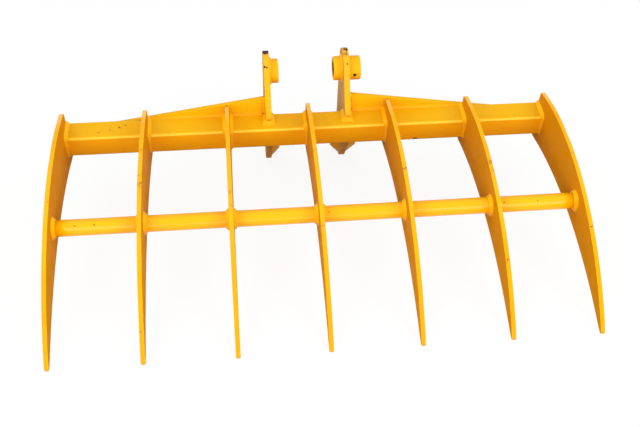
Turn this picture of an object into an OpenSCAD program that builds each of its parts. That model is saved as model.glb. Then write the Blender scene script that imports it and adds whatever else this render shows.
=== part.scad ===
/* [Tines] */
// Centre distance of neighbouring tines
tine_pitch = 300; // [240:5:380]
// Plate thickness of a tine
tine_thickness = 15; // [10:1:20]
// Forward distance from the middle of the beam to the middle of the rounded tip
tine_reach = 903; // [700:10:1100]
// Drop from the middle of the beam to the middle of the rounded tip
tip_drop = 130; // [60:5:200]
// Rounding radius of the tip
tip_radius = 8; // [5:0.5:12]
// Radius of the convex front edge
front_radius = 955; // [850:5:1300]
// Radius of the concave rear edge
rear_radius = 1450; // [1200:10:2000]
// Height of the horn above the top of the beam
horn_height = 53; // [30:1:70]
// Rounding radius of the horn
horn_radius = 10; // [5:0.5:12]
// Step from the back of the beam forward to the back of the horn
horn_step = 6; // [4:1:16]
// Depth of the heel under the beam
heel_depth = 59; // [45:1:80]
// Rounding radius of the heel
heel_radius = 30; // [15:1:40]

/* [Beam and cross pipe] */
// Outer width and height of the square beam tube
beam_size = 90; // [70:1:110]
// Wall of the beam tube
beam_wall = 8; // [5:0.5:12]
// Outer corner radius of the beam tube
beam_corner_radius = 10; // [9:0.5:16]
// Forward distance from the middle of the beam to the cross pipe
pipe_forward = 464; // [350:5:560]
// Outer diameter of the cross pipe
pipe_diameter = 57; // [42:0.5:76]
// Wall of the cross pipe
pipe_wall = 5; // [3:0.5:8]

/* [Ears] */
// Centre distance of the two ear plates
ear_spacing = 294; // [270:1:340]
// Plate thickness of an ear
ear_thickness = 22; // [14:1:25]
// Radius of an ear's rounded ends around the pin
ear_end_radius = 75; // [65:1:90]
// Distance from the middle of the beam back to the pins
pin_setback = 140; // [125:1:180]
// Height of the upper pin above the middle of the beam
upper_pin_rise = 170; // [145:1:210]
// Depth of the lower pin under the middle of the beam
lower_pin_drop = 180; // [150:1:220]
// How far an ear's feet reach over the beam from its back
ear_foot_reach = 55; // [30:1:70]
// Height of the blunt front end of an ear's foot
ear_nose = 32; // [14:1:45]

/* [Pin bosses] */
// Diameter of the pins that the bosses take
pin_bore = 60; // [45:1:70]
// Wall of an upper boss around its pin
boss_wall = 15; // [10:0.5:18]
// Wall of a lower boss around its pin
lower_boss_wall = 9; // [7:0.5:18]
// Clear width between the inner boss faces for the stick or the link
stick_gap = 205; // [180:1:225]
// How far the right bosses stand out of the ear's outer face
outer_boss_length = 46; // [34:1:60]
// Diameter of the lock bolt hole across a right boss
lock_hole = 13; // [9:0.5:17]
// Distance from a right boss's outer end to its lock bolt hole
lock_hole_inset = 24; // [12:1:30]
// Upward turn of the lock bolt hole's front end around the pin
lock_hole_turn = 0; // [0:1:30]

/* [Stiffener plates] */
// Thickness of the stiffener plate along the back of the beam
stiffener_thickness = 12; // [8:1:16]
// Height of the stiffener above the beam at the ear
stiffener_height = 78; // [50:1:100]
// Height of the stiffener plate itself at its outer end, where it lies behind the beam
stiffener_toe = 24; // [10:1:38]
// Overlap of the stiffener on the back face of the beam
stiffener_lap = 40; // [30:1:50]
// Bare length of beam from the stiffener's outer end to the outer tine's middle
stiffener_margin = 185; // [100:5:250]

/* [Welds] */
// Leg of the beads between the tines and the beam
beam_weld = 12; // [8:0.5:14]
// Leg of the rings between the tines and the cross pipe
pipe_weld = 12; // [6:0.5:14]
// Leg of the beads between the ears and the beam
ear_weld = 11; // [8:0.5:12]
// Leg of the rings between the bosses and the ears
boss_weld = 13; // [6:0.5:14]
// Leg of the beads along the stiffeners
stiffener_weld = 7; // [5:0.5:7.5]

/* [Hidden] */
// The cut edges of the plates stand this far off the tubes that pass through
fit_gap = 0.3;
// All cuts run this far past the faces that they open
overrun = 1;
// Straight steps along a long arc of a tine or an ear, and along a small rounding
arc_steps = 40;
rounding_steps = 12;
// One number in the node list for each tine
tine_count = 7;
middle_tine = (tine_count + 1) / 2;

paint_yellow = "#F2AA0C";
plate_yellow = "#F7B510";
weld_yellow = "#FFC428";

// Places in the side view are [back, up] from the middle of the beam
function unit(v) = v / norm(v);
// Lower meeting point of a circle around p with one around q, where p lies behind q
function lower_meeting(p, p_radius, q, q_radius) =
    let (
        span = norm(q - p),
        ahead = (span * span + p_radius * p_radius - q_radius * q_radius) / (2 * span),
        aside = sqrt(p_radius * p_radius - ahead * ahead),
        way = unit(q - p)
    )
    p + way * ahead + [-way[1], way[0]] * aside;
// Point where the line from a foot touches a circle, side 1 in front above, -1 in front below
function touch_point(foot, centre, radius, side) =
    let (
        span = norm(centre - foot),
        lift = acos(radius / span),
        way = atan2(foot[1] - centre[1], foot[0] - centre[0]) - side * lift
    )
    centre + radius * [cos(way), sin(way)];

function bearing(from, to) = atan2(to[1] - from[1], to[0] - from[0]);
function arc_points(centre, radius, start, end, steps) = [
    for (i = [0:steps])
        let (turn = start + (end - start) * i / steps)
        centre + radius * [cos(turn), sin(turn)]
];

half_beam = beam_size / 2;
beam_length = (tine_count - 1) * tine_pitch - tine_thickness;
beam_inner_radius = max(beam_corner_radius - beam_wall, fit_gap);

horn_back = half_beam - horn_step;
horn_centre = [horn_back - horn_radius, half_beam + horn_height - horn_radius];
heel_centre = [half_beam - heel_radius, heel_radius - half_beam - heel_depth];
tip_centre = [-tine_reach, -tip_drop];

front_centre = lower_meeting(
    horn_centre, front_radius - horn_radius,
    tip_centre, front_radius - tip_radius
);
rear_centre = lower_meeting(
    heel_centre, rear_radius + heel_radius,
    tip_centre, rear_radius + tip_radius
);
// Directions in which the arcs of a tine's outline meet
tip_to_front = bearing(front_centre, tip_centre);
horn_to_front = bearing(front_centre, horn_centre);
heel_to_rear = bearing(rear_centre, heel_centre);
tip_to_rear = bearing(rear_centre, tip_centre);
half_turn = 180;

function arc_height(centre, radius, back) =
    centre[1] + sqrt(radius * radius - pow(back - centre[0], 2));
// The pipe runs through the middle of the tine's depth
pipe_centre = [
    -pipe_forward,
    (arc_height(front_centre, front_radius, -pipe_forward)
        + arc_height(rear_centre, rear_radius, -pipe_forward)) / 2
];
pipe_radius = pipe_diameter / 2;

upper_pin = [pin_setback, upper_pin_rise];
lower_pin = [pin_setback, -lower_pin_drop];
foot_tip = half_beam - ear_foot_reach;
upper_foot = [foot_tip, half_beam + ear_nose];
lower_foot = [foot_tip, -half_beam - ear_nose];
upper_touch = touch_point(upper_foot, upper_pin, ear_end_radius, 1);
lower_touch = touch_point(lower_foot, lower_pin, ear_end_radius, -1);
ear_inner = (ear_spacing - ear_thickness) / 2;
ear_outer = (ear_spacing + ear_thickness) / 2;
upper_boss_radius = pin_bore / 2 + boss_wall;
lower_boss_radius = pin_bore / 2 + lower_boss_wall;
boss_end = ear_outer + outer_boss_length;

stiffener_end = (tine_count - 1) / 2 * tine_pitch - stiffener_margin;
stiffener_low = half_beam - stiffener_lap;
stiffener_top = half_beam + stiffener_height;
toe_top = stiffener_low + stiffener_toe;
// The groove bead ends where the stiffener's falling edge comes down to the bead
groove_top = half_beam + stiffener_weld;
falling_share = (stiffener_top - groove_top) / (stiffener_top - toe_top);
groove_end = ear_outer + (stiffener_end - ear_outer) * min(1, falling_share);

// The rake lies on its tine tips and on the lower ends of its ears
rest_line = lower_pin - tip_centre;
rest_tilt = asin((ear_end_radius - tip_radius) / norm(rest_line))
    - atan2(rest_line[1], rest_line[0]);
function rested(p) = [
    p[0] * cos(rest_tilt) - p[1] * sin(rest_tilt),
    p[0] * sin(rest_tilt) + p[1] * cos(rest_tilt)
];
front_end = rested(tip_centre)[0] - tip_radius;
back_end = rested(lower_pin)[0] + ear_end_radius;
lift = tip_radius - rested(tip_centre)[1];

module in_place() {
    translate([0, -(front_end + back_end) / 2, lift])
        rotate([rest_tilt, 0, 0])
            children();
}

// Stands a side view drawing up and gives it a thickness along the beam
module plate(thickness) {
    rotate([90, 0, 90])
        linear_extrude(thickness, center = true)
            children();
}

module disc(centre, radius) {
    translate(centre)
        circle(radius, $fn = 96);
}

module beam_section(size, radius) {
    inset = size / 2 - radius;
    square([size, 2 * inset], center = true);
    square([2 * inset, size], center = true);
    for (back = [-inset, inset])
        for (up = [-inset, inset])
            translate([back, up])
                circle(radius, $fn = 48);
}

// Side view of a tine: two arcs that close in on the tip, a horn above the beam, a heel below
module tine_outline() {
    polygon(concat(
        arc_points(tip_centre, tip_radius, tip_to_rear + half_turn, tip_to_front, rounding_steps),
        arc_points(front_centre, front_radius, tip_to_front, horn_to_front, arc_steps),
        arc_points(horn_centre, horn_radius, horn_to_front, 0, rounding_steps),
        [[horn_back, half_beam], [half_beam, half_beam]],
        arc_points(heel_centre, heel_radius, 0, heel_to_rear - half_turn, rounding_steps),
        arc_points(rear_centre, rear_radius, heel_to_rear, tip_to_rear, arc_steps)
    ));
}

// The notch for the beam is open towards the back
module beam_notch() {
    front = -half_beam - fit_gap;
    translate([front, front])
        square([beam_size + fit_gap + overrun, beam_size + 2 * fit_gap]);
}

module tine(number) {
    ends = number == 1 || number == tine_count;
    color(plate_yellow)
        translate([(number - middle_tine) * tine_pitch, 0, 0])
            plate(tine_thickness)
                difference() {
                    tine_outline();
                    if (!ends) {
                        beam_notch();
                        disc(pipe_centre, pipe_radius + fit_gap);
                    }
                }
}

module main_beam() {
    color(paint_yellow)
        plate(beam_length)
            difference() {
                beam_section(beam_size, beam_corner_radius);
                beam_section(beam_size - 2 * beam_wall, beam_inner_radius);
            }
}

module cross_pipe() {
    color(paint_yellow)
        plate(beam_length)
            difference() {
                disc(pipe_centre, pipe_radius);
                disc(pipe_centre, pipe_radius - pipe_wall);
            }
}

module ear_outline() {
    polygon(concat(
        [[foot_tip, half_beam], upper_foot],
        arc_points(upper_pin, ear_end_radius, bearing(upper_pin, upper_touch), 0, arc_steps),
        arc_points(lower_pin, ear_end_radius, 0, bearing(lower_pin, lower_touch), arc_steps),
        [lower_foot, [foot_tip, -half_beam]]
    ));
}

// The ear reaches around the beam from behind
module ear(side) {
    color(plate_yellow)
        translate([side * ear_spacing / 2, 0, 0])
            plate(ear_thickness)
                difference() {
                    ear_outline();
                    translate([-beam_size, -half_beam - fit_gap])
                        square([beam_size + half_beam + fit_gap, beam_size + 2 * fit_gap]);
                    disc(upper_pin, upper_boss_radius + fit_gap);
                    disc(lower_pin, lower_boss_radius + fit_gap);
                }
}

// A boss tube between two places along the beam
module boss_tube(pin, radius, from, to) {
    translate([from, pin[0], pin[1]])
        rotate([0, 90, 0])
            difference() {
                cylinder(h = to - from, r = radius, $fn = 96);
                translate([0, 0, -overrun])
                    cylinder(h = to - from + 2 * overrun, d = pin_bore, $fn = 96);
            }
}

module left_boss(pin, radius) {
    color(paint_yellow)
        boss_tube(pin, radius, -ear_outer, -stick_gap / 2);
}

module right_boss(pin, radius) {
    color(paint_yellow)
        difference() {
            boss_tube(pin, radius, stick_gap / 2, boss_end);
            translate([boss_end - lock_hole_inset, pin[0], pin[1]])
                rotate([90 - lock_hole_turn, 0, 0])
                    cylinder(h = 2 * (radius + overrun), d = lock_hole, center = true, $fn = 48);
        }
}

module stiffener(side) {
    color(plate_yellow)
        mirror([side < 0 ? 1 : 0, 0, 0])
            translate([0, half_beam + stiffener_thickness, 0])
                rotate([90, 0, 0])
                    linear_extrude(stiffener_thickness)
                        polygon([
                            [ear_outer, stiffener_low],
                            [stiffener_end, stiffener_low],
                            [stiffener_end, toe_top],
                            [ear_outer, stiffener_top]
                        ]);
}

// Bead along the beam's faces on one side of a plate, from one place to another in the side view
module beam_bead(leg, front, back, wraps_front, wraps_back) {
    difference() {
        intersection() {
            translate([0, half_beam + leg, 0])
                rotate([90, 0, 0])
                    linear_extrude(beam_size + 2 * leg)
                        polygon([
                            [0, -half_beam - leg],
                            [leg, -half_beam],
                            [leg, half_beam],
                            [0, half_beam + leg]
                        ]);
            linear_extrude(beam_size + 2 * leg, center = true)
                polygon([
                    [0, front - (wraps_front ? leg : 0)],
                    [leg, front],
                    [leg, back],
                    [0, back + (wraps_back ? leg : 0)]
                ]);
        }
        plate(2 * (leg + overrun))
            beam_section(beam_size, beam_corner_radius);
    }
}

module both_sides(middle, half_width, first, last) {
    for (side = [first:2:last])
        translate([middle + side * half_width, 0, 0])
            mirror([side < 0 ? 1 : 0, 0, 0])
                children();
}

// The end tines are welded on their inner side only
module at_tine_sides() {
    for (number = [1:tine_count])
        both_sides(
            (number - middle_tine) * tine_pitch,
            tine_thickness / 2,
            number == 1 ? 1 : -1,
            number == tine_count ? -1 : 1
        )
            children();
}

module beam_welds() {
    color(weld_yellow)
        at_tine_sides()
            beam_bead(beam_weld, -half_beam, half_beam, true, false);
}

// A ring weld around a tube, with its wide end on the plate
module ring_weld(centre, radius, leg) {
    translate([0, centre[0], centre[1]])
        rotate([0, 90, 0])
            difference() {
                cylinder(h = leg, r1 = radius + leg, r2 = radius, $fn = 96);
                translate([0, 0, -overrun])
                    cylinder(h = leg + 2 * overrun, r = radius, $fn = 96);
            }
}

module pipe_welds() {
    color(weld_yellow)
        at_tine_sides()
            ring_weld(pipe_centre, pipe_radius, pipe_weld);
}

// Bead across the tip of an ear's foot, from one side bead to the other
module toe_bead() {
    half_width = ear_thickness / 2;
    intersection() {
        plate(ear_thickness + 2 * ear_weld)
            polygon([
                [foot_tip - ear_weld, half_beam],
                [foot_tip, half_beam],
                [foot_tip, half_beam + ear_weld]
            ]);
        translate([0, foot_tip + beam_size, 0])
            rotate([90, 0, 0])
                linear_extrude(2 * beam_size)
                    polygon([
                        [-half_width - ear_weld, half_beam],
                        [half_width + ear_weld, half_beam],
                        [half_width, half_beam + ear_weld],
                        [-half_width, half_beam + ear_weld]
                    ]);
    }
}

module ear_bead(side) {
    difference() {
        translate([side * ear_spacing / 2, 0, 0]) {
            both_sides(0, ear_thickness / 2, -1, 1)
                beam_bead(ear_weld, foot_tip, half_beam, false, true);
            toe_bead();
            mirror([0, 0, 1])
                toe_bead();
        }
        stiffener(side);
    }
}

module ear_welds() {
    color(weld_yellow) {
        ear_bead(-1);
        ear_bead(1);
    }
}

module boss_welds() {
    color(weld_yellow)
        for (around = [[upper_pin, upper_boss_radius], [lower_pin, lower_boss_radius]]) {
            both_sides(ear_spacing / 2, ear_thickness / 2, -1, 1)
                ring_weld(around[0], around[1], boss_weld);
            both_sides(-ear_spacing / 2, ear_thickness / 2, 1, 1)
                ring_weld(around[0], around[1], boss_weld);
        }
}

// Bead in the groove between the beam's rounded edge and the stiffener
module groove_bead(from, to) {
    translate([(from + to) / 2, 0, 0])
        plate(to - from)
            difference() {
                polygon([
                    [half_beam, half_beam - beam_corner_radius],
                    [half_beam, groove_top],
                    [half_beam - beam_corner_radius, half_beam]
                ]);
                beam_section(beam_size, beam_corner_radius);
            }
}

// The tines and their beads interrupt the groove bead
module stiffener_beads() {
    reach = tine_thickness / 2 + beam_weld;
    places = [for (number = [middle_tine + 1:tine_count]) (number - middle_tine) * tine_pitch];
    starts = concat([ear_outer + ear_weld], [for (place = places) place + reach]);
    for (i = [0:len(places) - 1]) {
        end = min(places[i] - reach, groove_end);
        if (starts[i] + stiffener_weld < end)
            groove_bead(starts[i], end);
    }
    translate([ear_outer, half_beam, half_beam + ear_weld])
        linear_extrude(stiffener_height - 2 * ear_weld)
            polygon([
                [0, 0],
                [0, -stiffener_weld],
                [stiffener_weld, 0]
            ]);
}

module stiffener_welds() {
    color(weld_yellow)
        for (side = [0, 1])
            mirror([side, 0, 0])
                stiffener_beads();
}

in_place() tine(1);  // tine_1
in_place() tine(2);  // tine_2
in_place() tine(3);  // tine_3
in_place() tine(4);  // tine_4
in_place() tine(5);  // tine_5
in_place() tine(6);  // tine_6
in_place() tine(7);  // tine_7
in_place() main_beam();
in_place() cross_pipe();
in_place() ear(-1);  // ear_left
in_place() ear(1);  // ear_right
in_place() left_boss(upper_pin, upper_boss_radius);  // boss_upper_left
in_place() right_boss(upper_pin, upper_boss_radius);  // boss_upper_right
in_place() left_boss(lower_pin, lower_boss_radius);  // boss_lower_left
in_place() right_boss(lower_pin, lower_boss_radius);  // boss_lower_right
in_place() stiffener(-1);  // stiffener_left
in_place() stiffener(1);  // stiffener_right
in_place() beam_welds();
in_place() pipe_welds();
in_place() ear_welds();
in_place() boss_welds();
in_place() stiffener_welds();
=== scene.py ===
import math

import bmesh
import bpy
from mathutils import Euler, Matrix, Vector, geometry, noise


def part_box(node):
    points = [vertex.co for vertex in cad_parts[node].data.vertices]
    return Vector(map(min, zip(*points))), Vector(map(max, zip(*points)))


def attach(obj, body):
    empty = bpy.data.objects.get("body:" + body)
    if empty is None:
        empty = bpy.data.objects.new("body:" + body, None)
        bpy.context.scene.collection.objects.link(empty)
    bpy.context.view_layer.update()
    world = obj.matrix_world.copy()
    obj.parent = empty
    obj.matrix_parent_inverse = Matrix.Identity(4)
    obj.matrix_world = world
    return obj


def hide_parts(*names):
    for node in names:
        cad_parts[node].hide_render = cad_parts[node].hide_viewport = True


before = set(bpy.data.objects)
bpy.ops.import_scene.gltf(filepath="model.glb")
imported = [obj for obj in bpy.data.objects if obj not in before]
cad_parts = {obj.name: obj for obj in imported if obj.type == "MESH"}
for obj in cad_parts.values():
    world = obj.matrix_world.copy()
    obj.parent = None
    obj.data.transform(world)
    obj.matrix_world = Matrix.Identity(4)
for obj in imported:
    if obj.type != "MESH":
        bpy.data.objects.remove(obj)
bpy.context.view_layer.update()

# The looks of an excavator root rake, on the solids of part.scad. Its pieces are laid out in the
# main beam's own directions: along it, back from the tips of the tines towards the ears, and up.
# The rake rests tilted, so to_row turns such a place into the row's frame. All is in metres.

TAU = 2 * math.pi
MM = 0.001
ALONG, BACKWARDS = 0, 1  # axes of the beam's directions

TINES = ["tine_%d" % number for number in range(1, 8)]
EARS = ["ear_left", "ear_right"]
STIFFENERS = ["stiffener_left", "stiffener_right"]
BOSSES = ["boss_upper_left", "boss_upper_right", "boss_lower_left", "boss_lower_right"]

# Sizes of part.scad that the boxes of its nodes don't give

CORNER = 10 * MM  # radius of the beam's outer corners
BEAM_WALL = 8 * MM
PIPE_WALL = 5 * MM
BORE_RADIUS = 30 * MM
LOCK_RADIUS = 6.5 * MM
LOCK_INSET = 24 * MM  # from the outer end of a right boss
FOOT_TIP = -10 * MM  # where the ears' feet end, back from the middle of the beam
EAR_END = 75 * MM  # radius of an ear's round ends
STIFFENER_TOE = 24 * MM  # height of a stiffener's outer end

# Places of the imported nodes


def middle(node):
    low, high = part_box(node)
    return (low + high) / 2


def resting_tilt():
    """How far the rake is turned about its beam at rest, from a stiffener's largest face."""
    face = max(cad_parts["stiffener_left"].data.polygons, key=lambda p: p.area)
    normal = face.normal if face.normal.y > 0 else -face.normal
    return math.atan2(normal.z, normal.y)


TILT = resting_tilt()
BEAM = middle("main_beam")
BACK = Vector((0, math.cos(TILT), math.sin(TILT)))
UP = Vector((0, -math.sin(TILT), math.cos(TILT)))


def to_row(p):
    """From along, back and up at the middle of the beam to the row's frame."""
    return BEAM + Vector((p[0], 0, 0)) + BACK * p[1] + UP * p[2]


def to_beam(p):
    """From the row's frame to along, back and up at the middle of the beam."""
    away = p - BEAM
    return Vector((away.x, away.dot(BACK), away.dot(UP)))


def node_points(node):
    return [to_beam(v.co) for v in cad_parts[node].data.vertices]


def node_box(node):
    """Lowest and highest corner of a node, in the beam's directions."""
    points = node_points(node)
    low = Vector([min(p[i] for p in points) for i in range(3)])
    high = Vector([max(p[i] for p in points) for i in range(3)])
    return low, high


def on_front_edge(number, back):
    """Place on a tine's front edge, back from the middle of the beam."""
    search = 14 * MM
    near = [p for p in node_points("tine_%d" % number) if abs(p.y - back) < search]
    along = sum(p.x for p in near) / len(near)
    return to_row((along, back, max(p.z for p in near)))


def boss_sizes(node):
    """Where a boss starts and ends along the beam, its axis as (back, up), and its radius."""
    low, high = node_box(node)
    return low.x, high.x, ((low.y + high.y) / 2, (low.z + high.z) / 2), (high.z - low.z) / 2


BEAM_HIGH = node_box("main_beam")[1]
HALF_BEAM = BEAM_HIGH.y
BEAM_END = BEAM_HIGH.x
PIPE_LOW, PIPE_HIGH = node_box("cross_pipe")
PIPE = (PIPE_LOW + PIPE_HIGH) / 2
PIPE_AXIS = (PIPE.y, PIPE.z)
PIPE_RADIUS = (PIPE_HIGH.z - PIPE_LOW.z) / 2
TINE_MIDDLES = [(low.x + high.x) / 2 for low, high in map(node_box, TINES)]
HALF_TINE = (node_box("tine_4")[1].x - node_box("tine_4")[0].x) / 2
HALF_EAR = (node_box("ear_right")[1].x - node_box("ear_right")[0].x) / 2

# Meshes


class Shape:
    """Points, faces and an edge value per point, gathered for one piece.

    The edge value is 1 on the crest of a worn edge and 0 on plain faces. Paint bares metal along
    it, and brightens it as worn paint and as a painted highlight.
    """

    def __init__(self):
        self.points = []
        self.faces = []
        self.edge = []

    def add(self, points, edge=0.0):
        first = len(self.points)
        self.points += [Vector(p) for p in points]
        self.edge += edge if isinstance(edge, list) else [edge] * len(points)
        return list(range(first, first + len(points)))

    def bridge(self, ring, following):
        count = len(ring)
        for i in range(count):
            j = (i + 1) % count
            self.faces.append((ring[i], ring[j], following[j], following[i]))


def make_piece(name, shape, material, nodes):
    mesh = bpy.data.meshes.new(name)
    mesh.from_pydata([to_row(p) for p in shape.points], [], shape.faces)
    bm = bmesh.new()
    bm.from_mesh(mesh)
    bmesh.ops.recalc_face_normals(bm, faces=bm.faces)
    bm.to_mesh(mesh)
    bm.free()
    mesh.polygons.foreach_set("use_smooth", [True] * len(mesh.polygons))
    edge = mesh.attributes.new("edge", "FLOAT", "POINT")
    edge.data.foreach_set("value", shape.edge)
    mesh.materials.append(material)
    piece = bpy.data.objects.new(name, mesh)
    bpy.context.scene.collection.objects.link(piece)
    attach(piece, "root")
    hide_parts(*nodes)
    return piece


def weighted(piece):
    """Keeps flat faces flat beside their rounded edges."""
    modifier = piece.modifiers.new("flat_faces", "WEIGHTED_NORMAL")
    modifier.weight = 100
    modifier.keep_sharp = False


def cap_loops(node, axis):
    """Outlines of a plate's flat face that looks along an axis, with the metal on their left."""
    bm = bmesh.new()
    bm.from_mesh(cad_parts[node].data)
    for vertex in bm.verts:
        vertex.co = to_beam(vertex.co)
    bmesh.ops.remove_doubles(bm, verts=bm.verts, dist=0.02 * MM)
    bm.normal_update()
    bm.verts.index_update()
    # Gone through as a list, since a set of faces has another order in each run
    cap = [f for f in bm.faces if f.normal[axis] > 0.999]
    in_cap = set(cap)
    following = {}
    for face in cap:
        for loop in face.loops:
            if sum(f in in_cap for f in loop.edge.link_faces) == 1:
                following[loop.vert.index] = loop.link_loop_next.vert.index
    places = {v.index: v.co.copy() for v in bm.verts}
    bm.free()
    u, v = (axis + 1) % 3, (axis + 2) % 3
    loops = []
    while following:
        start, here = next(iter(following.items()))
        chain = [start]
        del following[start]
        while here != start:
            chain.append(here)
            here = following.pop(here)
        loops.append([Vector((places[i][u], places[i][v])) for i in chain])
    return loops


def inset(loop, distances):
    """An outline with each point moved into the metal, so that its sides move by the distance."""
    moved = []
    count = len(loop)
    for i, point in enumerate(loop):
        before = (point - loop[i - 1]).normalized()
        after = (loop[(i + 1) % count] - point).normalized()
        left = Vector((-before.y, before.x)) + Vector((-after.y, after.x))
        moved.append(point + left * distances[i] / (1 + before.dot(after)))
    return moved


def blunted(loop, radius):
    """Edge radius per point of a tine's outline, whose tip and horn are knocked round."""
    extra, begin, ease = 2.2, 34 * MM, 20 * MM
    tip = min(loop, key=lambda p: p.x)
    horn = max(loop, key=lambda p: p.y)
    radii = []
    for point in loop:
        away = min((point - tip).length, (point - horn).length)
        radii.append(radius * (1 + extra * max(0.0, min(1.0, (begin - away) / ease))))
    return radii


def rounded_plate(shape, node, axis, radius, steps=3, rounding=None):
    """A plate with the outline of its node, faces that look along an axis, and rounded edges.

    rounding gives a radius for each point of an outline. Without it, all have the same.
    """
    low, high = node_box(node)
    bottom, top = low[axis], high[axis]
    levels = []
    for i in range(steps + 1):
        turn = math.pi / 2 * i / steps
        levels.append((1 - math.sin(turn), 1 - math.cos(turn), math.sin(2 * turn)))
    u, v = (axis + 1) % 3, (axis + 2) % 3

    def stand(point, level):
        place = [0, 0, 0]
        place[axis], place[u], place[v] = level, point.x, point.y
        return place

    ends = []
    outlines = []
    for loop in cap_loops(node, axis):
        radii = rounding(loop, radius) if rounding else [radius] * len(loop)
        rings = []
        for start, way, order in ((bottom, 1, levels), (top, -1, reversed(levels))):
            for offset, level, worn in order:
                around = inset(loop, [offset * r for r in radii])
                points = [stand(p, start + way * level * r) for p, r in zip(around, radii)]
                rings.append(shape.add(points, worn))
        for ring, following in zip(rings, rings[1:]):
            shape.bridge(ring, following)
        ends.append((rings[0], rings[-1]))
        outlines.append([Vector((*p, 0)) for p in inset(loop, radii)])
    triangles = geometry.tessellate_polygon(outlines)
    for side in (0, 1):
        flat = [i for pair in ends for i in pair[side]]
        shape.faces += [tuple(flat[i] for i in triangle) for triangle in triangles]


def arc(centre, radius, start, end, steps):
    return [
        Vector((
            centre[0] + radius * math.cos(start + (end - start) * i / steps),
            centre[1] + radius * math.sin(start + (end - start) * i / steps),
        ))
        for i in range(steps + 1)
    ]


def circle(centre, radius, sides):
    return arc(centre, radius, 0, TAU * (sides - 1) / sides, sides - 1)


def square_section(half, radius, steps):
    """A square with round corners: upper back, upper front, lower front and lower back."""
    points = []
    for quarter in range(4):
        turn = TAU / 4 * quarter
        side = Vector((math.cos(turn) - math.sin(turn), math.sin(turn) + math.cos(turn)))
        points += arc(side * (half - radius), radius, turn, turn + TAU / 4, steps)
    return points


def tube(shape, outer, inner, places, worn=0.0):
    """A tube along the beam through the given places, with edge values for its outside."""
    rings = [
        [shape.add([(x, p.x, p.y) for p in section], edge) for x in places]
        for section, edge in ((outer, worn), (inner, 0.0))
    ]
    for wall in rings:
        for ring, following in zip(wall, wall[1:]):
            shape.bridge(ring, following)
    for end in (0, -1):
        shape.bridge(rings[0][end], rings[1][end])


def lathe(shape, centre, profile, sides):
    """Turns a closed profile of (along, radius, edge value) around a line along the beam."""
    rings = []
    for along, radius, worn in profile:
        ring = circle(centre, radius, sides)
        rings.append(shape.add([(along, p.x, p.y) for p in ring], worn))
    for ring, following in zip(rings, rings[1:] + rings[:1]):
        shape.bridge(ring, following)


def drill(piece, start, direction, radius, length):
    """Cuts a round hole through a piece."""
    sides = 32
    bm = bmesh.new()
    turned = direction.to_track_quat("Z", "Y").to_matrix().to_4x4()
    bmesh.ops.create_cone(
        bm, cap_ends=True, segments=sides, radius1=radius, radius2=radius, depth=length,
        matrix=Matrix.Translation(start) @ turned,
    )
    mesh = bpy.data.meshes.new("drill")
    bm.to_mesh(mesh)
    bm.free()
    cutter = bpy.data.objects.new("drill", mesh)
    bpy.context.scene.collection.objects.link(cutter)
    modifier = piece.modifiers.new("hole", "BOOLEAN")
    modifier.operation = "DIFFERENCE"
    modifier.solver = "EXACT"
    modifier.object = cutter
    graph = bpy.context.evaluated_depsgraph_get()
    cut = bpy.data.meshes.new_from_object(piece.evaluated_get(graph))
    piece.modifiers.remove(modifier)
    piece.data = cut
    bpy.data.objects.remove(cutter)


# Weld beads. A key is a place on the bead's root, the directions away from it along both faces,
# and how stout the bead is there, which is 1 where it isn't given.

BEAD_STEP = 2 * MM
TURN_STEPS = 6  # where a bead turns on the spot
CORNER_TURNS = 6  # around a corner of the beam
SECTION_STEPS = 8
RING_SIDES = 72
COLLAR_SIDES = 96
# Lengths of the unevenness along a bead, and its heights as shares of the bead's size
RIPPLE, RIPPLE_HEIGHT = 8 * MM, 0.035
LUMP, LUMP_HEIGHT = 34 * MM, 0.20
DIMPLE, DIMPLE_HEIGHT = 11 * MM, 0.10
RIPPLE_BOW = 0.35  # how far a ripple's middle lags behind its ends, in ripples
# How far apart beads lie in the noise, so that no two are alike
LUMP_SHIFT, DIMPLE_SHIFT, DIMPLE_START = 7.3, 3.1, 50
ROOT_DEPTH = 0.12  # of a bead's size, into the corner
TOE_DEPTH = 0.05  # of the angle between the faces, into each of them
END_LENGTH, END_SIZE = 0.9, 0.25  # of a bead's size, where it starts and stops


def stations(keys, closed):
    """Even steps between keys, all with how stout the bead is."""
    keys = [(*[Vector(v) for v in key[:3]], key[3] if len(key) > 3 else 1.0) for key in keys]
    found = []
    for a, b in zip(keys, keys[1:] + (keys[:1] if closed else [])):
        length = (b[0] - a[0]).length
        count = max(1, round(length / BEAD_STEP)) if length > 1e-6 else TURN_STEPS
        for i in range(count):
            share = i / count
            found.append((
                a[0].lerp(b[0], share),
                a[1].lerp(b[1], share).normalized(),
                a[2].lerp(b[2], share).normalized(),
                a[3] + (b[3] - a[3]) * share,
            ))
    if not closed:
        found.append(keys[-1])
    return found


def swelling(way, total, closed, seed):
    """How much larger a bead is at a place on its way, as a share of its size."""
    if closed:
        around = TAU * way / total
        spot = Vector((math.cos(around), math.sin(around), 0)) * total / TAU
    else:
        spot = Vector((way, 0, 0))
    slow = noise.noise(spot / LUMP + Vector((0, 0, seed * LUMP_SHIFT)))
    quick = noise.noise(spot / DIMPLE + Vector((0, 0, seed * DIMPLE_SHIFT + DIMPLE_START)))
    return LUMP_HEIGHT * slow + DIMPLE_HEIGHT * quick


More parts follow.
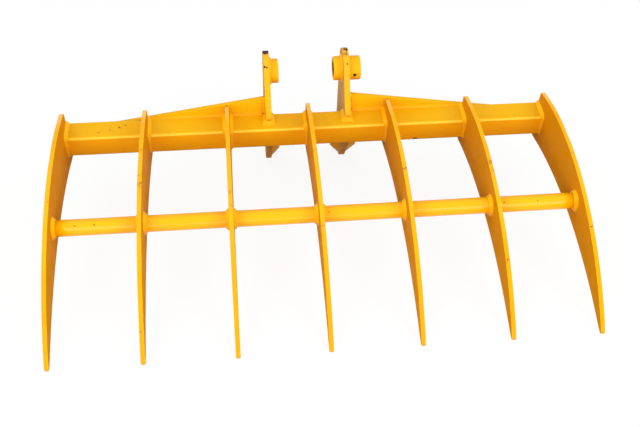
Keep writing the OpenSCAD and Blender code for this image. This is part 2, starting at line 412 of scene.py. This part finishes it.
def bead(shape, keys, leg, seed, closed=False, bulge=0.5, lumps=1.0, stretch=1.0):
    """A hand-laid fillet weld: a convex section with ripples and lumps along its way.

    bulge is how round the section is, 0 for flat and 1 for an arc, lumps how uneven the bead is,
    and stretch how much longer its leg on the second face is.
    """
    path = stations(keys, closed)
    travelled = [0.0]
    for a, b in zip(path, path[1:]):
        travelled.append(travelled[-1] + (b[0] - a[0]).length + leg / 2 * (b[1] - a[1]).length)
    total = travelled[-1]
    if closed:
        total += (path[0][0] - path[-1][0]).length
    rings = []
    for (root, first, second, stout), way in zip(path, travelled):
        size = leg * stout * (1 + lumps * swelling(way, total, closed, seed))
        if not closed:
            nearest = min(way, total - way) / (END_LENGTH * leg)
            if nearest < 1:
                size *= END_SIZE + (1 - END_SIZE) * math.sqrt(1 - (1 - nearest) ** 2)
        angle = first.angle(second)
        ring = [root - (first + second) * ROOT_DEPTH * leg * stout]
        for i in range(SECTION_STEPS + 1):
            share = -TOE_DEPTH + (1 + 2 * TOE_DEPTH) * i / SECTION_STEPS
            a = math.sin((1 - share) * angle) / math.sin(angle)
            b = math.sin(share * angle) / math.sin(angle)
            flat = 1 / (a + b)
            lag = RIPPLE_BOW * RIPPLE * math.sin(math.pi * share)
            wave = math.sin(TAU * (way - lag) / RIPPLE)
            reach = size * (flat + (1 - flat) * bulge) * (1 + RIPPLE_HEIGHT * lumps * wave)
            ring.append(root + (first * a + second * b * stretch) * reach)
        rings.append(shape.add(ring))
    for ring, following in zip(rings, rings[1:] + (rings[:1] if closed else [])):
        shape.bridge(ring, following)
    if not closed:
        shape.faces += [tuple(rings[0]), tuple(reversed(rings[-1]))]


def corner_way(x, side, centre, start, end, steps):
    """Keys around a corner of the beam, on the side of a plate."""
    keys = []
    for i in range(steps + 1):
        turn = start + (end - start) * i / steps
        normal = Vector((0, math.cos(turn), math.sin(turn)))
        keys.append((Vector((x, *centre)) + normal * CORNER, Vector((side, 0, 0)), normal))
    return keys


def beam_way(x, side, start, end):
    """Keys along a tine's side around the beam: over its top, down its front, back under it."""
    # How stout the bead is there
    top, front, low_front, under = 1.2, 0.9, 0.6, 0.9
    inner = HALF_BEAM - CORNER
    keys = [((x, start, HALF_BEAM), (side, 0, 0), (0, 0, 1), top)]
    upper = corner_way(x, side, (-inner, inner), TAU / 4, TAU / 2, CORNER_TURNS)
    for i, key in enumerate(upper):
        keys.append((*key, top + (front - top) * i / CORNER_TURNS))
    lower = corner_way(x, side, (-inner, -inner), TAU / 2, TAU * 3 / 4, CORNER_TURNS)
    keys += [(*key, low_front) for key in lower]
    keys.append(((x, end, -HALF_BEAM), (side, 0, 0), (0, 0, -1), under))
    return keys


def ring_way(x, side, centre, radius, sides=RING_SIDES):
    """Keys around a tube where it meets a plate, with the tube's side as the second face."""
    keys = []
    for i in range(sides):
        turn = TAU * i / sides
        normal = Vector((0, math.cos(turn), math.sin(turn)))
        keys.append((Vector((x, *centre)) + normal * radius, normal, Vector((side, 0, 0))))
    return keys


def ear_way(x):
    """Keys once around an ear where it stands on the beam."""
    # How stout the bead is there
    upper_foot, upper_tip, lower_foot = 1.45, 1.3, 1.2
    inner = HALF_BEAM - CORNER
    turns = 5
    left, right = x - HALF_EAR, x + HALF_EAR

    def one_side(place, side):
        keys = [((place, FOOT_TIP, HALF_BEAM), (side, 0, 0), (0, 0, 1), upper_foot)]
        keys += corner_way(place, side, (inner, inner), TAU / 4, 0, turns)
        keys += corner_way(place, side, (inner, -inner), 0, -TAU / 4, turns)
        keys.append(((place, FOOT_TIP, -HALF_BEAM), (side, 0, 0), (0, 0, -1), lower_foot))
        return keys

    forward = (0, -1, 0)
    keys = one_side(left, -1)
    keys += [((at, FOOT_TIP, -HALF_BEAM), forward, (0, 0, -1), lower_foot) for at in (left, right)]
    keys += reversed(one_side(right, 1))
    keys += [((at, FOOT_TIP, HALF_BEAM), forward, (0, 0, 1), upper_tip) for at in (right, left)]
    return keys


# Materials


def linear(colour):
    """From a display colour of 0 to 255 to the linear one that a shader takes."""
    parts = [c / 255 for c in colour]
    return (*[p / 12.92 if p <= 0.04045 else ((p + 0.055) / 1.055) ** 2.4 for p in parts], 1)


class Nodes:
    """The nodes of a material or world, with short ways to add them."""

    def __init__(self, owner):
        owner.use_nodes = True
        self.owner = owner
        self.tree = owner.node_tree
        self.tree.nodes.clear()
        self.place = None

    def add(self, kind, **settings):
        node = self.tree.nodes.new(kind)
        for key, value in settings.items():
            setattr(node, key, value)
        return node

    def link(self, a, b):
        self.tree.links.new(a, b)

    def put(self, socket, value):
        if isinstance(value, bpy.types.NodeSocket):
            self.link(value, socket)
        else:
            socket.default_value = value

    def on_piece(self):
        """Place on the piece, from one node for the whole material."""
        if self.place is None:
            self.place = self.add("ShaderNodeTexCoord").outputs["Object"]
        return self.place

    def facing(self):
        """X, Y and Z of the direction in which the surface looks."""
        parts = self.add("ShaderNodeSeparateXYZ")
        self.link(self.add("ShaderNodeNewGeometry").outputs["Normal"], parts.inputs[0])
        return parts.outputs

    def noise(self, scale, detail=3.0, roughness=0.5, stretch=(1, 1, 1), shift=(0, 0, 0)):
        mapping = self.add("ShaderNodeMapping")
        mapping.inputs["Scale"].default_value = stretch
        mapping.inputs["Location"].default_value = shift
        self.link(self.on_piece(), mapping.inputs["Vector"])
        node = self.add("ShaderNodeTexNoise")
        node.inputs["Scale"].default_value = scale
        node.inputs["Detail"].default_value = detail
        node.inputs["Roughness"].default_value = roughness
        self.link(mapping.outputs["Vector"], node.inputs["Vector"])
        return node.outputs["Fac"]

    def math(self, operation, a, b=0.0, clamp=False):
        node = self.add("ShaderNodeMath", operation=operation, use_clamp=clamp)
        self.put(node.inputs[0], a)
        self.put(node.inputs[1], b)
        return node.outputs[0]

    def band(self, value, low, high, out_low=0.0, out_high=1.0):
        """Eases a value from one range to another, held at its ends."""
        node = self.add("ShaderNodeMapRange", interpolation_type="SMOOTHSTEP")
        self.put(node.inputs["Value"], value)
        limits = {"From Min": low, "From Max": high, "To Min": out_low, "To Max": out_high}
        for socket, number in limits.items():
            node.inputs[socket].default_value = number
        return node.outputs["Result"]

    def patches(self, low, high, least=0.0, most=1.0, **pattern):
        """Patches of noise, from least where it is below low to most where it is above high."""
        return self.band(self.noise(**pattern), low, high, least, most)

    def mix(self, factor, a, b):
        """Colour a where the factor is 0, and b where it is 1."""
        first_colour, second_colour, mixed_colour = 6, 7, 2
        node = self.add("ShaderNodeMix", data_type="RGBA")
        self.put(node.inputs["Factor"], factor)
        self.put(node.inputs[first_colour], a)
        self.put(node.inputs[second_colour], b)
        return node.outputs[mixed_colour]

    def surface(self, colour, roughness, metal, gloss, height, strength, depth):
        """The finished material, with bumps of the given height, whose depth is in metres."""
        shader = self.add("ShaderNodeBsdfPrincipled")
        self.put(shader.inputs["Base Color"], colour)
        self.put(shader.inputs["Roughness"], roughness)
        self.put(shader.inputs["Metallic"], metal)
        self.put(shader.inputs["Specular IOR Level"], gloss)
        bump = self.add("ShaderNodeBump")
        bump.inputs["Strength"].default_value = strength
        bump.inputs["Distance"].default_value = depth
        self.link(height, bump.inputs["Height"])
        self.link(bump.outputs["Normal"], shader.inputs["Normal"])
        return self.output("ShaderNodeOutputMaterial", shader)

    def blend(self, share, a, b):
        """Shader a where the share is 0, and b where it is 1."""
        both = self.add("ShaderNodeMixShader")
        self.link(share, both.inputs[0])
        self.link(a.outputs[0], both.inputs[1])
        self.link(b.outputs[0], both.inputs[2])
        return both

    def output(self, kind, shader):
        self.link(shader.outputs[0], self.add(kind).inputs["Surface"])
        return self.owner


DUST = linear((176, 134, 78))
STEEL = linear((70, 58, 48))
RUST = linear((104, 62, 34))
CRISP = linear((255, 218, 70))  # edges worn bright, and a painted highlight along edges
HORN_LIGHT = linear((255, 214, 140))  # painted light: paler paint on the horns, where they look up and back
# Painted shade in corners and crevices
SHADE_IN_CORNERS = linear((186, 106, 10))


def shaded_by_facing(n, facing, face, side, under, front):
    """Painted light and shade by the direction in which the paint looks, with soft clouds in it.
    """
    face, side, under, front = [linear(colour) for colour in (face, side, under, front)]
    forward = n.band(n.math("MULTIPLY", facing["Y"], -1.0), 0.25, 0.85)
    sideways = n.band(n.math("ABSOLUTE", facing["X"]), 0.8, 0.97)
    downward = n.band(facing["Z"], -0.75, 0.1, 1.0, 0.0)
    colour = n.mix(forward, face, front)
    colour = n.mix(sideways, colour, side)
    colour = n.mix(downward, colour, under)
    colour = n.mix(n.patches(0.35, 0.68, most=0.25, scale=5, detail=4), colour, side)
    return n.mix(n.patches(0.52, 0.75, most=0.15, scale=17, shift=(3, 1, 2)), colour, face)


def dusted(n, colour, facing, film, dust, horn_light):
    """The colour under dust, a film and streaks, and painted light: the horns paler in patches."""
    colour = n.mix(film, colour, DUST)
    # Painted light: where the tines look up and lean back, on their horns, paler in patches
    lit_horns = n.patches(0.35, 0.6, least=0.4, scale=40, detail=4, roughness=0.6)
    lit_horns = n.math("MULTIPLY", n.band(facing["Z"], 0.82, 0.96), lit_horns)
    lit_horns = n.math("MULTIPLY", lit_horns, n.band(facing["Y"], 0.04, 0.18, 0.12))
    colour = n.mix(n.math("MULTIPLY", lit_horns, horn_light), colour, HORN_LIGHT)
    streaks = n.patches(
        0.66, 0.8, most=1.2 * dust, scale=30, roughness=0.6, stretch=(1.0, 0.25, 0.25),
    )
    return n.mix(streaks, colour, DUST)


def specks(n):
    """1 on a few small specks of rust."""
    cells = n.add("ShaderNodeTexVoronoi")
    cells.inputs["Scale"].default_value = 90
    n.link(n.on_piece(), cells.inputs["Vector"])
    near = n.band(cells.outputs["Distance"], 0.05, 0.09, 1.0, 0.0)
    return n.math("MULTIPLY", near, n.patches(0.62, 0.66, scale=23, detail=2, shift=(11, 4, 8)))


def chips_near(n, spots):
    """1 where paint has gone around the given (place, reach, density) spots, thinning outwards."""
    cover = None
    for place, reach, density in spots:
        away = n.add("ShaderNodeVectorMath", operation="DISTANCE")
        n.link(n.on_piece(), away.inputs[0])
        away.inputs[1].default_value = place
        share = n.band(away.outputs["Value"], 0.0, reach, density, 0.0)
        cover = share if cover is None else n.math("MAXIMUM", cover, share)
    cover = n.math("ADD", cover, n.noise(scale=250, detail=4, roughness=0.6))
    return n.band(cover, 0.75, 0.81)


def paint(
    name, face, side, under, front, dust=0.06, roughness=0.5, worn=0.0, rub_and_highlight=0.35,
    corner_shade=0.5, gloss=0.1, bumps=1.0, horn_light=0.0, chipped=1.0, spots=(),
):
    """Enamel on steel, with cloudy colour, dust, scuffs and chips.

    face is the colour of what looks up, front of what looks forward, side of what looks along the
    beam, and under of what looks down: light and shade painted by direction. Along edges,
    rub_and_highlight brightens the paint, as worn paint and as a painted highlight, and worn
    bares more metal. corner_shade is how dark the painted shade in corners is, horn_light how
    much paler the horns are painted, and chipped how plainly metal shows where it is bare, as
    at spots of (place, reach, density).
    """
    n = Nodes(bpy.data.materials.new(name))
    facing = n.facing()
    edge = n.add("ShaderNodeAttribute", attribute_name="edge").outputs["Fac"]
    film = n.patches(0.45, 0.8, scale=9, detail=6, roughness=0.62, shift=(7, 2, 5))
    film = n.math("MULTIPLY", film, dust)
    colour = shaded_by_facing(n, facing, face, side, under, front)
    colour = dusted(n, colour, facing, film, dust, horn_light)
    speck = specks(n)
    colour = n.mix(n.math("MULTIPLY", speck, 0.7), colour, RUST)

    # Edges brighten as worn paint and as a painted highlight, on the beam nearly all along
    least = 0.8 if rub_and_highlight > 0.5 else 0.0
    bright = n.patches(0.45, 0.62, least=least, scale=60, detail=5, roughness=0.6)
    bright = n.math("MULTIPLY", n.math("MULTIPLY", edge, bright), rub_and_highlight)
    colour = n.mix(bright, colour, CRISP)

    # Painted shade: corners and crevices within 16 mm are darkened towards a deep orange
    crevice = n.add("ShaderNodeAmbientOcclusion", samples=6)
    crevice.inputs["Distance"].default_value = 16 * MM
    colour = n.mix(n.band(crevice.outputs["AO"], 0.3, 0.8, corner_shade, 0.0), colour, SHADE_IN_CORNERS)

    bare = n.patches(
        0.71 - worn, 0.73 - worn, scale=38, detail=6, roughness=0.7, shift=(2, 9, 4),
    )
    bare = n.math("MULTIPLY", edge, bare)
    if spots:
        bare = n.math("MAXIMUM", bare, chips_near(n, spots))
    metal = n.mix(n.patches(0.42, 0.62, scale=240, detail=4, roughness=0.6), STEEL, RUST)
    colour = n.mix(n.math("MULTIPLY", bare, chipped), colour, metal)

    uneven = n.patches(
        0.3, 0.75, least=-0.12 * roughness, most=0.24 * roughness,
        scale=26, detail=5, roughness=0.6, shift=(1, 5, 9),
    )
    dull = n.math("MULTIPLY", n.math("MAXIMUM", film, bare), 0.2)
    rough = n.math("ADD", n.math("ADD", uneven, roughness), dull, clamp=True)

    peel = n.math("MULTIPLY", n.noise(scale=330, detail=2), 0.10)
    wave = n.math("MULTIPLY", n.noise(scale=34, detail=2, shift=(4, 4, 1)), 0.9)
    pits = n.math("MULTIPLY", n.math("MAXIMUM", bare, speck), 0.5)
    height = n.math("SUBTRACT", n.math("ADD", peel, wave), pits)
    return n.surface(
        colour, rough, n.math("MULTIPLY", bare, 0.5), gloss,
        height, strength=0.5, depth=bumps * 0.6 * MM,
    )


def bare_bore(name):
    """Turned steel in a pin bore, dark with old grease."""
    n = Nodes(bpy.data.materials.new(name))
    grease = n.patches(0.35, 0.7, scale=28, detail=5, roughness=0.6)
    colour = n.mix(grease, linear((44, 32, 24)), linear((14, 11, 9)))
    rough = n.band(grease, 0.0, 1.0, 0.5, 0.3)
    tool_marks = n.noise(scale=8, detail=2, stretch=(220, 1, 1))
    return n.surface(
        colour, rough, metal=0.2, gloss=0.5, height=tool_marks, strength=0.3, depth=0.3 * MM,
    )


# Where paint is chipped off. Distances and reaches are in mm. The density says how much of the
# noise around a spot counts as bare.

# Tine, distance in front of the beam's middle, reach, density
TINE_CHIPS = (
    (2, 374, 38, 0.27), (2, 330, 44, 0.23), (2, 215, 34, 0.23), (2, 838, 12, 0.34),
    (3, 470, 30, 0.22), (3, 420, 30, 0.24), (5, 364, 18, 0.3), (6, 352, 34, 0.26),
    (6, 392, 30, 0.25), (6, 700, 13, 0.34), (7, 614, 11, 0.34), (7, 330, 30, 0.2),
    (1, 420, 26, 0.2), (4, 260, 30, 0.2), (4, 560, 20, 0.24),
)
# Along, back and up from the beam's middle, reach, density
BEAM_CHIPS = (
    (-697, 4, 45, 14, 0.36), (-676, 13, 45, 8, 0.4), (-771, -18, 45, 8, 0.4),
    (-730, -6, 45, 40, 0.2), (406, -44, -40, 16, 0.9),
)
# Distance along the pipe from its middle, reach
PIPE_CHIPS = ((-816, 6), (-754, 8), (-574, 6), (634, 8), (752, 6), (8, 6), (28, 6))
PIPE_CHIP_DENSITY = 0.42
# Distance across the ear's edge, turn around the upper pin in degrees, reach, density
EAR_CHIPS = {
    "ear_left": (
        (-5, 58, 30, 0.85), (5, 60, 30, 0.85), (-2, 76, 24, 0.7), (-8, 129, 8, 0.6),
        (1, 131, 7, 0.6),
    ),
    "ear_right": ((0, 58, 30, 0.5), (4, 76, 26, 0.42), (0, 98, 30, 0.3), (2, 130, 7, 0.5)),
}


def tine_spots():
    return [
        (on_front_edge(number, -forward * MM), reach * MM, density)
        for number, forward, reach, density in TINE_CHIPS
    ]


def beam_spots():
    return [
        (to_row((x * MM, y * MM, z * MM)), reach * MM, density)
        for x, y, z, reach, density in BEAM_CHIPS
    ]


def pipe_spots():
    """Chips on the pipe, 30 degrees forward from its top."""
    back, up = PIPE.y - PIPE_RADIUS * 0.5, PIPE.z + PIPE_RADIUS * 0.87
    return [
        (to_row((x * MM, back, up)), reach * MM, PIPE_CHIP_DENSITY) for x, reach in PIPE_CHIPS
    ]


def ear_spots():
    """Chips around the ears' upper ends, turned from their back over the top to the front."""
    found = []
    for node in EARS:
        low, high = node_box(node)
        x, pin_y = (low.x + high.x) / 2, high.y - EAR_END
        for across, turn, reach, density in EAR_CHIPS[node]:
            way = math.radians(turn)
            back = pin_y + EAR_END * math.cos(way)
            up = high.z - EAR_END * (1 - math.sin(way))
            found.append((to_row((x + across * MM, back, up)), reach * MM, density))
    return found


# face, side, under and front colours are painted light and shade, set for how each piece is lit
tine_paint = paint(
    "tine_enamel", face=(250, 175, 8), side=(220, 143, 4), under=(210, 130, 6),
    front=(248, 154, 6), dust=0.035, gloss=0.04, roughness=0.62, worn=0.02, horn_light=0.5,
    chipped=0.75, spots=tine_spots(),
)
beam_paint = paint(
    "beam_enamel", face=(236, 178, 6), side=(230, 152, 6), under=(206, 126, 8),
    front=(255, 176, 4), rub_and_highlight=0.95, chipped=0.8, spots=beam_spots(),
)
pipe_paint = paint(
    "pipe_enamel", face=(246, 178, 4), side=(240, 166, 4), under=(250, 182, 4),
    front=(248, 174, 4), dust=0.03, roughness=0.08, gloss=0.2, bumps=0.3, chipped=0.75,
    spots=pipe_spots(),
)
ear_paint = paint(
    "ear_enamel", face=(250, 178, 8), side=(208, 158, 82), under=(198, 118, 10),
    front=(250, 176, 8), dust=0.05, roughness=0.6, worn=0.02, spots=ear_spots(),
)
boss_paint = paint(
    "boss_enamel", face=(244, 182, 10), side=(242, 172, 8), under=(226, 150, 8),
    front=(246, 176, 10),
)
stiffener_paint = paint(
    "stiffener_enamel", face=(228, 168, 8), side=(236, 178, 8), under=(228, 148, 10),
    front=(238, 182, 8), corner_shade=0.2,
)
weld_paint = paint(
    "bead_enamel", face=(250, 190, 12), side=(248, 180, 10), under=(220, 134, 8),
    front=(248, 172, 8), roughness=0.32, corner_shade=0.3,
)
bore_steel = bare_bore("greased_steel")

# Plates and tubes

PLATE_EDGE = 1.6 * MM
TINE_EDGE_STEPS = 5
# Edge values around the beam's upper front corner, top to front: chips and a painted highlight
FRONT_WEAR_AND_HIGHLIGHT = [0.0, 0.0, 0.0, 0.5, 1.0, 1.0, 1.0, 1.0, 0.0]
OTHER_WEAR_AND_HIGHLIGHT = 0.4  # on the crest of its other corners
TUBE_LENGTHS = 36
PIPE_SIDES = 64


def dress_plates():
    for node in TINES:
        shape = Shape()
        rounded_plate(shape, node, ALONG, PLATE_EDGE, TINE_EDGE_STEPS, blunted)
        weighted(make_piece(node + "_blade", shape, tine_paint, [node]))
    for node in EARS:
        shape = Shape()
        rounded_plate(shape, node, ALONG, PLATE_EDGE)
        weighted(make_piece(node + "_plate", shape, ear_paint, [node]))
    for node in STIFFENERS:
        shape = Shape()
        rounded_plate(shape, node, BACKWARDS, PLATE_EDGE)
        piece = make_piece(node + "_plate", shape, stiffener_paint, [node])
        weighted(piece)


def dress_tubes():
    places = [BEAM_END * (2 * i / TUBE_LENGTHS - 1) for i in range(TUBE_LENGTHS + 1)]
    steps = len(FRONT_WEAR_AND_HIGHLIGHT) - 1
    other = [OTHER_WEAR_AND_HIGHLIGHT * math.sin(math.pi * i / steps) for i in range(steps + 1)]
    shape = Shape()
    tube(
        shape,
        square_section(HALF_BEAM, CORNER, steps),
        square_section(HALF_BEAM - BEAM_WALL, CORNER - BEAM_WALL, steps),
        places,
        other + FRONT_WEAR_AND_HIGHLIGHT + other + other,
    )
    weighted(make_piece("main_beam_tube", shape, beam_paint, ["main_beam"]))

    shape = Shape()
    outer = circle(PIPE_AXIS, PIPE_RADIUS, PIPE_SIDES)
    inner = circle(PIPE_AXIS, PIPE_RADIUS - PIPE_WALL, PIPE_SIDES)
    tube(shape, outer, inner, places)
    make_piece("cross_pipe_tube", shape, pipe_paint, ["cross_pipe"])


# Pin bosses

UPPER_RIM, LOWER_RIM = 5 * MM, 7 * MM
RIM_STEPS = 4
BORE_BEVEL = 1.5 * MM
BOSS_SIDES = 96
BORE_MARGIN = 0.2 * MM  # within which a face counts as part of the bore


def boss_profile(start, end, radius, rim):
    """Outside with round rims, and bore with bevelled ones, as lathe takes them."""
    profile = []
    for i in range(RIM_STEPS + 1):
        turn = math.pi / 2 * i / RIM_STEPS
        along = start + rim * (1 - math.sin(turn))
        profile.append((along, radius - rim * (1 - math.cos(turn)), math.sin(2 * turn)))
    profile.reverse()
    profile += [(start + end - along, r, worn) for along, r, worn in reversed(profile)]
    profile += [
        (end, BORE_RADIUS + BORE_BEVEL, 0.0),
        (end - BORE_BEVEL, BORE_RADIUS, 0.0),
        (start + BORE_BEVEL, BORE_RADIUS, 0.0),
        (start, BORE_RADIUS + BORE_BEVEL, 0.0),
    ]
    return profile


def dress_bosses():
    """Tubes with painted outsides and bare bores, and lock holes through the right ones."""
    for node in BOSSES:
        start, end, pin, radius = boss_sizes(node)
        lock = end - LOCK_INSET
        locked = node.endswith("right")
        shape = Shape()
        rim = LOWER_RIM if "lower" in node else UPPER_RIM
        lathe(shape, pin, boss_profile(start, end, radius, rim), BOSS_SIDES)
        piece = make_piece(node + "_tube", shape, boss_paint, [node])
        if locked:
            drill(piece, to_row((lock, *pin)), -BACK, LOCK_RADIUS, 3 * radius)
        piece.data.materials.append(bore_steel)
        for polygon in piece.data.polygons:
            place = to_beam(polygon.center)
            to_axis = math.hypot(place.y - pin[0], place.z - pin[1])
            to_lock = math.hypot(place.x - lock, place.z - pin[1])
            if to_axis < BORE_RADIUS + BORE_MARGIN or (locked and to_lock < LOCK_RADIUS):
                polygon.material_index = 1
        weighted(piece)


# Weld beads on the rake

BEAM_LEG, PIPE_LEG, EAR_LEG, STIFFENER_LEG = 12 * MM, 11.4 * MM, 11 * MM, 7 * MM
BOSS_LEG = 13 * MM  # in part.scad: the seen beads are smaller, and coned on the lower bosses
UPPER_BOSS_LEG, COLLAR_LEG = 0.62 * BOSS_LEG, 26 * MM
COLLAR_MARGIN = 6 * MM  # that a collar leaves free at the boss's end
COLLAR_STRETCH = 1.5
# The seeds of each kind of bead lie from about here on, and give each bead lumps of its own
BEAM_SEED, PIPE_SEED, EAR_SEED, BOSS_SEED, GROOVE_SEED, UPRIGHT_SEED = 0, 20, 40, 60, 80, 90


def tine_sides():
    """Sides of the tines that tubes pass through, as (along, -1 or 1 for where it looks)."""
    found = []
    for x in TINE_MIDDLES:
        if x > TINE_MIDDLES[0]:
            found.append((x - HALF_TINE, -1))
        if x < TINE_MIDDLES[-1]:
            found.append((x + HALF_TINE, 1))
    return found


def dress_beam_welds():
    shape = Shape()
    stiffened = [node_box(node) for node in STIFFENERS]
    under_end, top_end, stiffened_top_end = 43 * MM, 43 * MM, 52 * MM
    for seed, (x, side) in enumerate(tine_sides(), BEAM_SEED):
        behind = any(low.x < x < high.x for low, high in stiffened)
        start = stiffened_top_end if behind else top_end
        bead(shape, beam_way(x, side, start, under_end), BEAM_LEG, seed)
    make_piece("beam_weld_beads", shape, weld_paint, ["beam_welds"])


def dress_pipe_welds():
    shape = Shape()
    for seed, (x, side) in enumerate(tine_sides(), PIPE_SEED):
        keys = ring_way(x, side, PIPE_AXIS, PIPE_RADIUS)
        bead(shape, keys, PIPE_LEG, seed, closed=True, bulge=0.1, lumps=1.3)
    make_piece("pipe_weld_beads", shape, weld_paint, ["pipe_welds"])


def dress_ear_welds():
    shape = Shape()
    for seed, node in enumerate(EARS, EAR_SEED):
        low, high = node_box(node)
        keys = ear_way((low.x + high.x) / 2)
        bead(shape, keys, EAR_LEG, seed, closed=True, bulge=0.15, lumps=1.3)
    make_piece("ear_weld_beads", shape, weld_paint, ["ear_welds"])


def dress_boss_welds():
    """Ring beads on both sides of the ears, where a boss stands out far enough."""
    shape = Shape()
    for number, node in enumerate(BOSSES):
        start, end, pin, radius = boss_sizes(node)
        low, high = node_box("ear_right" if node.endswith("right") else "ear_left")
        for side, face, free in ((-1, low.x, low.x - start), (1, high.x, end - high.x)):
            if free <= BOSS_LEG:
                continue
            seed = BOSS_SEED + 2 * number + side
            keys = ring_way(face, side, pin, radius, COLLAR_SIDES)
            if "lower" in node:
                stretch = min(COLLAR_STRETCH, (free - COLLAR_MARGIN) / COLLAR_LEG)
                bead(
                    shape, keys, COLLAR_LEG, seed,
                    closed=True, bulge=0.1, lumps=0.5, stretch=stretch,
                )
            else:
                bead(shape, keys, UPPER_BOSS_LEG, seed, closed=True)
    make_piece("boss_weld_beads", shape, weld_paint, ["boss_welds"])


def dress_stiffener_welds():
    """Beads between a stiffener and the beam's top, from tine to tine, and one up the ear."""
    shape = Shape()
    groove_root = Vector((0, HALF_BEAM + 0.3 * MM, HALF_BEAM - 1 * MM))
    groove_leg, upright_leg, thinnest = 1.2 * STIFFENER_LEG, 1.5 * STIFFENER_LEG, 0.3
    off_tine, off_ear, past_crest, above_top = 0.3 * BEAM_LEG, 0.8 * EAR_LEG, 12 * MM, 2 * MM
    segments = 8
    for side, node in ((-1, "stiffener_left"), (1, "stiffener_right")):
        low, high = node_box(node)
        start, end = (high.x, low.x) if side < 0 else (low.x, high.x)
        fall = (high.z - low.z - STIFFENER_TOE) / abs(end - start)
        # Where the stiffener's falling edge reaches the beam's top
        crest = start + (high.z - HALF_BEAM) / fall * side
        passed = [x for x in TINE_MIDDLES if x * side > 0 and abs(start) < abs(x) < abs(crest)]
        passed.sort(key=abs)
        gap = (HALF_TINE + off_tine) * side
        starts = [start + off_ear * side] + [x + gap for x in passed]
        ends = [x - gap for x in passed] + [crest + past_crest * side]
        for seed, (a, b) in enumerate(zip(starts, ends), GROOVE_SEED + side):
            keys = []
            for i in range(segments + 1):
                x = a + (b - a) * i / segments
                edge_height = high.z - HALF_BEAM - fall * abs(x - start)
                stout = min(1, max(thinnest, edge_height / STIFFENER_LEG))
                keys.append((groove_root + Vector((x, 0, 0)), (0, -1, 0), (0, 0, 1), stout))
            bead(shape, keys, groove_leg, seed, bulge=0.3, lumps=0.6)
        upright = (HALF_BEAM, high.z + above_top)
        keys = [((start, HALF_BEAM, z), (side, 0, 0), (0, -1, 0)) for z in upright]
        bead(shape, keys, upright_leg, UPRIGHT_SEED + side)
    make_piece("stiffener_weld_beads", shape, weld_paint, ["stiffener_welds"])


# Floor, light and camera

FLOOR_REACH = 30
FLOOR_SEEN, FLOOR_GLOW = (0.95, 0.95, 0.95, 1), 0.88
FLOOR_LIT = (0.27, 0.265, 0.26, 1)  # for light from the floor on the rake
WORLD_STRENGTH = 0.98
# Name, place, width and height, power in watts
LAMPS = (
    ("left_front", (-2.1, -3.2, 1.9), (2.4, 1.6), 47),
    ("right_front", (2.1, -3.2, 1.9), (2.4, 1.6), 47),
    ("low_front", (0, -4.2, 0.7), (6.0, 0.8), 66),
)
LAMP_TARGET = (0, 0, 0.2)
# Fitted to the photo, with the turns in degrees
CAMERA_LENS, CAMERA_SENSOR = 50.217, 36
CAMERA_PLACE = (-0.2512, -2.3809, 2.2594)
CAMERA_TURNS = (47.954, -0.863, -5.608)


def seen(n):
    """1 for what the camera sees, also in gloss or through glass, and 0 for light on the rake."""
    rays = n.add("ShaderNodeLightPath").outputs
    share = rays["Is Camera Ray"]
    for kind in ("Is Glossy Ray", "Is Transmission Ray"):
        share = n.math("MAXIMUM", share, rays[kind])
    return share


def floor_material():
    """White where it is seen, with the rake's shadow, and dimmer in the light that it gives."""
    n = Nodes(bpy.data.materials.new("pale_floor"))
    direct = seen(n)
    plain = n.add("ShaderNodeBsdfDiffuse")
    n.link(n.mix(direct, FLOOR_LIT, FLOOR_SEEN), plain.inputs["Color"])
    glow = n.add("ShaderNodeEmission")
    glow.inputs["Color"].default_value = (1, 1, 1, 1)
    both = n.blend(n.math("MULTIPLY", direct, FLOOR_GLOW), plain, glow)
    return n.output("ShaderNodeOutputMaterial", both)


def make_floor(reach):
    mesh = bpy.data.meshes.new("floor")
    corners = [(-reach, -reach, 0), (reach, -reach, 0), (reach, reach, 0), (-reach, reach, 0)]
    mesh.from_pydata(corners, [], [(0, 1, 2, 3)])
    mesh.materials.append(floor_material())
    floor = bpy.data.objects.new("floor", mesh)
    bpy.context.scene.collection.objects.link(floor)


def make_world(strength):
    """A dome that lights with the given strength, and a plain white one that is seen."""
    n = Nodes(bpy.data.worlds.new("studio"))
    domes = []
    for power in (strength, 1.0):
        dome = n.add("ShaderNodeBackground")
        dome.inputs["Color"].default_value = (1, 1, 1, 1)
        dome.inputs["Strength"].default_value = power
        domes.append(dome)
    both = n.blend(seen(n), *domes)
    bpy.context.scene.world = n.output("ShaderNodeOutputWorld", both)


def make_lamp(name, place, target, size, power):
    lamp = bpy.data.lights.new(name, "AREA")
    lamp.shape = "RECTANGLE"
    lamp.size, lamp.size_y = size
    lamp.energy = power
    holder = bpy.data.objects.new(name, lamp)
    holder.location = place
    aim = Vector(target) - Vector(place)
    holder.rotation_euler = aim.to_track_quat("-Z", "Y").to_euler()
    bpy.context.scene.collection.objects.link(holder)


def make_camera():
    camera = bpy.data.cameras.new("camera")
    camera.sensor_width = CAMERA_SENSOR
    camera.lens = CAMERA_LENS
    holder = bpy.data.objects.new("camera", camera)
    holder.location = CAMERA_PLACE
    holder.rotation_euler = Euler([math.radians(turn) for turn in CAMERA_TURNS])
    bpy.context.scene.collection.objects.link(holder)
    bpy.context.scene.camera = holder


dress_plates()
dress_tubes()
dress_bosses()
dress_beam_welds()
dress_pipe_welds()
dress_ear_welds()
dress_boss_welds()
dress_stiffener_welds()
make_floor(FLOOR_REACH)
make_world(WORLD_STRENGTH)
for lamp_name, lamp_place, lamp_size, lamp_power in LAMPS:
    make_lamp(lamp_name, lamp_place, LAMP_TARGET, lamp_size, lamp_power)
make_camera()
bpy.context.scene.view_settings.view_transform = "Standard"
